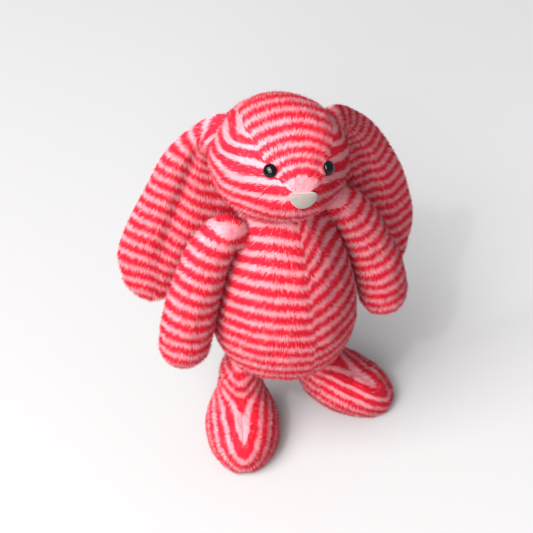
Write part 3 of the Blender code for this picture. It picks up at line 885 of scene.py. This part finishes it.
class RABBIT_OT_head(PlushOperator, bpy.types.Operator):
    """Sew the forehead gusset, both side panels and the back of the head"""

    bl_idname = "rabbit.head"
    bl_label = "Head"

    def build(self, room):
        # h is the angle from the nose. s runs over the gusset from -1 to 1, under the chin at 2 and back
        split = 36  # rows before the back panel
        thetas = np.linspace(0.06, CROWN_BACK, split)
        thetas = np.concatenate([thetas, np.linspace(CROWN_BACK, 3.137, 24)[1:]])
        shares = np.linspace(-1, 1, GUSSET_COLUMNS)
        shares = np.concatenate([shares, 1 + np.linspace(0, 2, 2 * SIDE_COLUMNS + 3)[1:-1]])
        h, s = rows_and_columns(thetas, shares)
        half = gusset_half(h)
        rest = half + (s - 1) / 2 * (2 * math.pi - 2 * half)
        turn = math.pi / 2 + np.where(s <= 1, s * half, rest)
        start = head_form(h, turn, -SLACK + CHEEK * np.clip((h - 0.85) / 0.3, 0, 1))
        seam = np.maximum(self.held(np.abs(s) - 1), self.held(s - 2))
        seam = np.where(h > CROWN_BACK, 0, seam)
        seam = np.maximum(seam, self.held(h - CROWN_BACK))
        placed = stuffed({"head": (start, seam)})["head"]
        around = placed.shape[1]
        bare = face_spots()

        def panel(name, rows, columns, phase, seed, slot, hides=(), **more):
            places = placed[rows][:, columns % around]
            cloth = Cloth(places, phase, np.gradient(places, axis=0), HEAD_CENTRE, parting=0.5, **more)
            sew(room, name, cloth, "head", seed, slot, hides, bare=bare)

        front = np.arange(split)
        gusset = np.arange(GUSSET_COLUMNS)
        theta = h[front][:, gusset]
        phase = 6.9 * (theta - 0.48) - 1.44 * (theta - 0.48) ** 2 + 0.5
        speckle = 0.5 + 0.16 * np.sin(theta * 60 + 9 * s[front][:, gusset])
        phase = np.where(theta < PALE_MUZZLE, speckle, phase)
        longer = 1 + 0.25 * np.clip((PALE_MUZZLE - theta) / 0.1, 0, 1)
        hides = ["head_stuffing"]
        panel("forehead_gusset", front, gusset, phase, 20, "pink_plush", hides, long_pile=longer)
        middle = GUSSET_COLUMNS + SIDE_COLUMNS
        cheeks = {"right": np.arange(GUSSET_COLUMNS - 1, middle + 1), "left": np.arange(middle, around + 1)}
        for side, columns in cheeks.items():
            places = placed[front][:, columns % around]
            local = (places - HEAD_CENTRE) @ HEAD_POSE
            theta = h[front][:, columns % around]
            sag = 1.0 - 4.0 * ((theta - 1.1) / 0.75) ** 2
            sag = sag - 3.0 * np.exp(-(((theta - 0.75) / 0.3) ** 2)) * np.clip(local[..., 2] / MM / 8, 0, 1)
            tall = np.degrees(np.arcsin(np.clip((local[..., 2] + sag * MM) / (41 * MM), -1, 1)))
            wave = 1.3 * np.sin(local[..., 1] / (5 * MM) + local[..., 2] / (6 * MM))
            phase = (tall + wave - 4.5) / 12.5 + 0.5
            panel("head_side_" + side, front, columns, phase, 21 + (side == "left"), "red_plush")
        rows = np.arange(split - 1, len(thetas))
        columns = np.arange(around + 1)
        places = placed[rows][:, columns % around]
        local = (places - HEAD_CENTRE) @ HEAD_POSE
        phase = local[..., 2] / room.stripes.body_repeat + 0.5
        panel("head_back", rows, columns, phase, 23, "red_plush")

    def held(self, away):
        """Weights that hold the cloth near a seam."""
        return np.clip(1.2 - np.abs(away) / 0.05, 0, 1)


def eye_place(side):
    """Where an eye is and the way it looks."""
    theta, turn = np.array(EYE_ANGLE), np.array(math.pi / 2 - SIDES[side] * gusset_half(EYE_ANGLE))
    return head_form(theta, turn) + SHIFT, Vector(head_normal(theta, turn))


def face_spots():
    """Where the pile stays clear: the eyes and the nose."""
    spots = [(eye_place(side)[0], 4.2 * MM) for side in SIDES]
    for right, up, radius in ((-0.12, 0.02, 3.6), (0, -0.01, 4.6), (0.12, 0.02, 3.6)):
        theta, turn = math.hypot(right, up), math.atan2(up, right)
        spots.append((head_form(np.array(theta), np.array(turn)) + SHIFT, radius * MM))
    return spots


class RABBIT_OT_nose(PlushOperator, bpy.types.Operator):
    """Make the velveteen nose"""

    bl_idname = "rabbit.nose"
    bl_label = "Nose"

    def build(self, room):
        columns = 48
        turns = 2 * math.pi * np.arange(columns) / columns
        share, a = rows_and_columns(np.concatenate([np.linspace(0.03, 0.9, 12), [0.96, 1.0, 1.0]]), turns)
        x, z = np.cos(a), np.sin(a)
        wide = NOSE_WIDTH * 0.77 * (1 + 0.25 * z)
        tall = NOSE_HEIGHT * np.where(z < 0, 0.96, 0.48)
        power = np.where(z > 0, 3.2, 2.2)
        edge = (np.abs(x / wide) ** power + np.abs(z / tall) ** power) ** (-1 / power) * share
        right, up = edge * x, edge * z + 0.03
        theta, turn = np.hypot(right, up), np.arctan2(up, right)
        lift = 1.5 * MM * np.sqrt(np.clip(1 - share**4, 0, 1)) + 1.2 * MM
        lift[-1] = -2.5 * MM
        places = head_form(theta, turn) + head_normal(theta, turn) * lift[..., None] + SHIFT
        rows = len(places)
        points = np.vstack([places.reshape(-1, 3), places[0].mean(0)])
        faces = grid_faces(rows, columns, True).tolist()
        faces += [(rows * columns, j, (j + 1) % columns) for j in range(columns)]
        faces.append([(rows - 1) * columns + j for j in range(columns)])
        obj = new_object("nose_velveteen", points, facing_out(points, faces))
        made = Finish("nose_velveteen", Sheen_Weight=0.5, Sheen_Roughness=0.4)
        nap, blotch = made.noise(1300, 3), made.noise(380, 2)
        colour = room.colours.nose
        made.set(
            Base_Color=made.mix(nap * 0.5 + blotch * 0.5, tinted(colour, 0.62), tinted(colour, 1.38)),
            Roughness=0.75 + nap * 0.2,
            Normal=made.bump(nap, 0.8, 0.5 * MM),
        )
        obj.data.materials.append(made.material)
        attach(obj, "head")
        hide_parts("nose_patch")


class RABBIT_OT_eyes(PlushOperator, bpy.types.Operator):
    """Make the bead eyes"""

    bl_idname = "rabbit.eyes"
    bl_label = "Eyes"

    def build(self, room):
        gloss = Finish("black_bead", Base_Color=(0.002, 0.002, 0.002), IOR=1.33)
        scuff = gloss.noise(300, 4)
        gloss.set(Roughness=0.03 + gloss.smooth(scuff, 0.5, 0.8) * 0.06)
        dome = np.linspace(0.04, math.pi / 2, 14)
        outline = [(EYE_BEAD * math.sin(b), 0.2 * MM + 2.9 * MM * math.cos(b)) for b in dome]
        outline += [(EYE_BEAD * 0.96, -0.6 * MM), (EYE_BEAD * 0.8, -1.2 * MM)]
        outline += [(1.4 * MM, -1.2 * MM), (1.4 * MM, -6 * MM)]
        for side in SIDES:
            at, out = eye_place(side)
            points = lathed(outline, EYE_SIDES, at, out) - np.array(out) * EYE_SINK
            faces = [f[::-1] for f in grid_faces(len(outline), EYE_SIDES, True).tolist()]
            faces.append(list(range(EYE_SIDES)))
            faces.append([(len(outline) - 1) * EYE_SIDES + j for j in range(EYE_SIDES)][::-1])
            obj = new_object("bead_eye_" + side, points, facing_out(points, faces))
            obj.data.materials.append(gloss.material)
            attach(obj, "head")
            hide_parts("eye_" + side)
        plastic = Finish("washer_plastic", Roughness=0.5)
        grain = plastic.noise(600, 3)
        plastic.set(
            Base_Color=plastic.mix(grain, (0.78, 0.78, 0.75), (0.86, 0.86, 0.84)),
            Roughness=0.42 + grain * 0.2,
            Normal=plastic.bump(grain, 0.1, 0.1 * MM),
        )
        for side in SIDES:
            self.make_washer(side, plastic.material)

    def make_washer(self, side, finish):
        """The ring that locks an eye's stem inside the head."""
        outline = [(radius * MM, height * MM) for radius, height in WASHER_OUTLINE]
        points = lathed(outline, WASHER_SIDES, *eye_place(side))
        faces = grid_faces(len(outline), WASHER_SIDES, True).tolist()
        last = (len(outline) - 1) * WASHER_SIDES
        for j in range(WASHER_SIDES):
            k = (j + 1) % WASHER_SIDES
            faces.append((last + j, last + k, k, j))
        obj = new_object("washer_" + side, points, facing_out(points, faces))
        obj.data.materials.append(finish)
        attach(obj, "head")
        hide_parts("eye_washer_" + side)


class RABBIT_OT_ears(PlushOperator, bpy.types.Operator):
    """Make the two layers of each ear"""

    bl_idname = "rabbit.ears"
    bl_label = "Ears"

    def build(self, room):
        tip = (1 - EAR_TIP_START) * np.sin(np.linspace(0, math.pi / 2, 12)[1:])
        shares = np.concatenate([np.linspace(0, EAR_TIP_START, 46), EAR_TIP_START + tip])
        t, s = rows_and_columns(shares, np.linspace(-1, 1, EAR_COLUMNS))
        rounded = EAR_LAYER * np.sqrt(np.clip(1.02 - s**2, 0, 1)) * np.clip((1.01 - t) / 0.1, 0, 1) ** 0.5
        for side, sign in SIDES.items():
            root, free = ear_form(np.array([0.0, 0.2]), np.array([0.0, 0.0]), side)
            for layer, way in (("inner", 1), ("outer", -1)):
                places = ear_form(t, s, side, way * rounded)
                along = np.linalg.norm(np.diff(places[:, EAR_COLUMNS // 2], axis=0), axis=-1)
                run = np.concatenate([[0], np.cumsum(along)])[:, None]
                tilt = 5 * MM * s + 1.6 * MM * np.sin(4.2 * s + 0.6)
                phase = (run - sign * tilt) / LIMB_REPEAT
                inside = ear_form(t, s, side, -way * 60 * MM).mean((0, 1))
                cloth = Cloth(places, phase, np.gradient(places, axis=0), inside)
                seed = 30 + (side == "left") * 2 + (way > 0)
                slot = "pink_plush" if way > 0 else "red_plush"
                bend = ("head", root, free)
                name = f"ear_{side}_{layer}"
                sew(room, name, cloth, "ear_" + side, seed, slot, blend=bend, fill=0.15, density=0.9)


class RABBIT_OT_arms(PlushOperator, bpy.types.Operator):
    """Sew the front and back of each arm"""

    bl_idname = "rabbit.arms"
    bl_label = "Arms"

    def build(self, room):
        turns = 2 * math.pi * np.arange(ARM_COLUMNS) / ARM_COLUMNS
        shares = np.concatenate([np.linspace(0, 1, 44), 1 + np.linspace(0, 1.56, 14)[1:]])
        t, a = rows_and_columns(shares, turns)
        pins = seam_pins(a, [0, math.pi], 0.12)
        pins = np.maximum(pins, np.clip((0.2 - t) / 0.05, 0, 1))
        placed = stuffed({side: (arm_form(t, a, side, SLACK), pins) for side in SIDES})
        fine = np.linspace(0, 1, 200)
        for side, sign in SIDES.items():
            line = np.array(ARM_LINES[side]) * MM
            steps = np.linalg.norm(np.diff(curve(line, fine), axis=0), axis=1)
            length = np.concatenate([[0], np.cumsum(steps)])
            inner = np.clip(t, 0, 1)
            run = np.interp(inner, fine, length) + 17 * MM * np.sin(t - inner)
            start = line[0] + (sign * -2 * MM, 0, 3 * MM)
            end = line[0] + (sign * 8 * MM, 0, -4 * MM)
            for layer, first, slot in (("front", 0, "red_plush"), ("back", 18, "pink_plush")):
                columns = np.arange(first, first + 19) % ARM_COLUMNS
                places = placed[side][:, columns]
                tilt = 1.5 * MM * np.sin(a[:, columns]) + 1.0 * MM * np.cos(2 * a[:, columns])
                # Above the elbow the stripes are flat rings, square to the arm at the elbow
                upper = (places - line[3]) @ unit(line[3] - line[2]) + np.interp(0.6, fine, length)
                near = np.clip((0.72 - t[:, columns]) / 0.25, 0, 1)
                tilt = tilt + (upper - run[:, columns]) * near
                phase = (run[:, columns] + tilt) / LIMB_REPEAT + ARM_START[side]
                if layer == "front":
                    away = np.linalg.norm(places - line[1] - SHOULDER_TUFT, axis=-1)
                    pull = 0.9 * np.exp(-((away / SHOULDER_TUFT_SIZE) ** 2))
                    phase = phase + (np.floor(phase) + 0.5 - phase) * pull
                cloth = Cloth(places, phase, np.gradient(places, axis=0), line[3])
                name = f"arm_{side}_{layer}"
                hides = [f"arm_{side}_stuffing"] if layer == "front" else []
                seed = 40 + (side == "left") * 2 + (first > 0)
                sew(room, name, cloth, "arm_" + side, seed, slot, hides, blend=("torso", start, end))


class RABBIT_OT_legs(PlushOperator, bpy.types.Operator):
    """Sew both halves and the sole of each leg"""

    bl_idname = "rabbit.legs"
    bl_label = "Legs"

    def build(self, room):
        turns = 2 * math.pi * np.arange(LEG_COLUMNS) / LEG_COLUMNS
        t, a = rows_and_columns(np.linspace(0, 1, 34), turns)
        pins = seam_pins(a, [math.pi / 2, 3 * math.pi / 2], 0.06)
        pins = np.maximum(pins, np.clip((t - 0.85) / 0.05, 0, 1))
        pins = np.maximum(pins, np.where(t < 0.02, 1, 0))
        inset = np.clip(t / 0.12, 0.35, 1) * LEG_SLACK
        placed = stuffed({side: (leg_form(t, a, side, inset), pins) for side in SIDES})
        quarter = LEG_COLUMNS // 4
        for side, sign in SIDES.items():
            turn = np.array(Matrix.Rotation(-FOOT_SPLAY[side], 3, "Z"))
            hip = np.array((HIP[0] * sign, HIP[1], 0))
            start, end = hip + (0, 0, 84 * MM), hip + (0, 0, 64 * MM)
            inside = foot_place(np.array((0, -5, 20)) * MM, side)
            halves = ("outer", "inner") if side == "right" else ("inner", "outer")
            for k, first in enumerate((-quarter, quarter)):
                columns = np.arange(first, first + 2 * quarter + 1) % LEG_COLUMNS
                places = placed[side][:, columns]
                low = 1 - np.clip(places[..., 2:3] / HIP[2], 0, 1)
                local = (places - hip - FOOT_STEP[side] * low) @ turn.T
                forward = np.maximum(-local[..., 1], -10 * MM)
                across = np.sqrt(local[..., 0] ** 2 + (1 * MM) ** 2)
                phase = (local[..., 2] + 0.3 * forward - 0.75 * across) / LEG_REPEAT + 0.3
                cloth = Cloth(places, phase, -np.gradient(places, axis=0), inside)
                name = f"leg_{side}_{halves[k]}"
                slot = "red_plush" if k == 0 else "pink_plush"
                hides = [f"leg_{side}_stuffing"] if k == 0 else [f"foot_bean_bag_{side}"]
                seed = 50 + (side == "left") * 2 + k
                sew(room, name, cloth, "leg_" + side, seed, slot, hides, blend=("torso", start, end))
            self.make_sole(room, side)

    def make_sole(self, room, side):
        """A flat oval that closes the foot, with its pile pressed flat by the floor."""
        centre = LEG_RINGS[0][1] * MM
        turns = 2 * math.pi * np.arange(LEG_COLUMNS + 1) / LEG_COLUMNS
        r, a = rows_and_columns(np.linspace(0.02, 1, 12), turns)
        wide, long_ = SOLE_SIZE
        height = SOLE_HEIGHT + SOLE_RIM * r**6
        local = np.stack([wide * r * np.cos(a), centre + long_ * r * np.sin(a), height], -1)
        places = foot_place(local, side)
        phase = local[..., 1] / room.stripes.body_repeat
        brushed = np.broadcast_to((0.0, 1.0, 0.0), places.shape)
        cloth = Cloth(places, phase, brushed, places.mean((0, 1)) + (0, 0, 50 * MM))
        seed = 60 + (side == "left")
        sew(room, "sole_" + side, cloth, "leg_" + side, seed, "pink_plush", fill=0.3, length=0.3)


class RABBIT_OT_tail(PlushOperator, bpy.types.Operator):
    """Make the round tail"""

    bl_idname = "rabbit.tail"
    bl_label = "Tail"

    def build(self, room):
        theta, a = rows_and_columns(np.linspace(0.01, 2.75, 24), 2 * math.pi * np.arange(41) / 40)
        away = np.stack([np.sin(theta) * np.cos(a), np.cos(theta), np.sin(theta) * np.sin(a)], -1)
        places = TAIL_CENTRE + away * (TAIL_RADIUS - TAIL_SLACK)
        places[..., 1] -= np.clip(theta - 1.9, 0, 1) * 8 * MM
        phase = 0.5 + 0.12 * np.sin(3 * a) * np.sin(2 * theta)
        cloth = Cloth(places, phase, np.gradient(places, axis=0), TAIL_CENTRE)
        bend = ("torso", TAIL_CENTRE - (0, 20 * MM, 0), TAIL_CENTRE - (0, 11 * MM, 0))
        pompom = {"length": 1.5, "wild": 0.5, "density": 1.2}
        sew(room, "tail_cover", cloth, "tail", 70, "pink_plush", ["tail_stuffing"], blend=bend, **pompom)


class RABBIT_OT_stage(PlushOperator, bpy.types.Operator):
    """Set out the floor, the lights and the camera"""

    bl_idname = "rabbit.stage"
    bl_label = "Stage"

    def build(self, room):
        scene = bpy.context.scene
        settings = scene.plush_stage
        half = 4  # metres from the middle of the floor to its edge
        corners = [(-half, -half, 0), (half, -half, 0), (half, half, 0), (-half, half, 0)]
        floor = new_object("floor", corners, [(0, 1, 2, 3)])
        paper = Finish("pale_paper", Roughness=0.7)
        grain = paper.noise(3, 2)
        paper.set(Base_Color=paper.mix(grain, tinted(room.colours.floor, 0.985), room.colours.floor))
        floor.data.materials.append(paper.material)

        world = bpy.data.worlds.new("studio")
        scene.world = world
        world.use_nodes = True
        sky = world.node_tree.nodes["Background"]
        sky.inputs["Color"].default_value = (0.97, 0.975, 1.0, 1)
        sky.inputs["Strength"].default_value = settings.sky

        target = np.array((-5, 16, 143)) * MM + SHIFT
        power = settings.key_power
        self.light("key", target, (-0.98, -0.18, 1.25), 4.0, 2.8, power, (1, 0.985, 0.97))
        self.light("front", target, (-0.80, -0.75, 0.75), 4.0, 3.0, power * 0.85, (1, 0.985, 0.98))
        # A small lamp puts the glint in the eyes
        self.light("spark", target, (-0.80, -0.50, 1.1), 3.0, 0.12, power * 0.07, (1, 1, 1))

        a, e = settings.azimuth, settings.elevation
        back = Vector((math.sin(a) * math.cos(e), -math.cos(a) * math.cos(e), math.sin(e)))
        camera = linked("camera", bpy.data.cameras.new("camera"))
        camera.location = Vector(target) + back * settings.distance
        camera.rotation_mode = "QUATERNION"
        camera.rotation_quaternion = (-back).to_track_quat("-Z", "Y")
        camera.data.lens = camera.data.sensor_width * settings.distance / settings.view_width
        scene.camera = camera
        scene.view_settings.view_transform = "Standard"

    def light(self, name, target, way, distance, size, power, colour):
        """A round soft light that stands the given way and distance from the target."""
        lamp = bpy.data.lights.new(name, "AREA")
        lamp.shape = "DISK"
        lamp.size = size
        lamp.energy = power
        lamp.color = colour
        obj = linked(name, lamp)
        way = Vector(way).normalized()
        obj.location = Vector(target) + way * distance
        obj.rotation_mode = "QUATERNION"
        obj.rotation_quaternion = way.to_track_quat("Z", "Y")


STEPS = (
    RABBIT_OT_body,
    RABBIT_OT_head,
    RABBIT_OT_nose,
    RABBIT_OT_eyes,
    RABBIT_OT_ears,
    RABBIT_OT_arms,
    RABBIT_OT_legs,
    RABBIT_OT_tail,
    RABBIT_OT_stage,
)
SETTINGS = {
    "plush_pile": PileSettings,
    "plush_stripes": StripeSettings,
    "plush_colours": ColourSettings,
    "plush_stage": StageSettings,
}


class RABBIT_PT_plush(bpy.types.Panel):
    """Lists the rabbit's pieces and settings"""

    bl_label = "Plush rabbit"
    bl_space_type = "VIEW_3D"
    bl_region_type = "UI"
    bl_category = "Plush"

    def draw(self, context):
        for step in STEPS:
            self.layout.operator(step.bl_idname)
        for name in SETTINGS:
            group = getattr(context.scene, name)
            for prop in group.bl_rna.properties:
                if prop.identifier not in ("name", "rna_type"):
                    self.layout.prop(group, prop.identifier)


def register():
    for kind in (*SETTINGS.values(), *STEPS, RABBIT_PT_plush):
        bpy.utils.register_class(kind)
    for name, kind in SETTINGS.items():
        setattr(bpy.types.Scene, name, bpy.props.PointerProperty(type=kind))


def unregister():
    for name in SETTINGS:
        delattr(bpy.types.Scene, name)
    for kind in (RABBIT_PT_plush, *reversed(STEPS), *SETTINGS.values()):
        bpy.utils.unregister_class(kind)


def main():
    register()
    for step in STEPS:
        group, name = step.bl_idname.split(".")
        getattr(getattr(bpy.ops, group), name)()


if __name__ == "__main__":
    main()
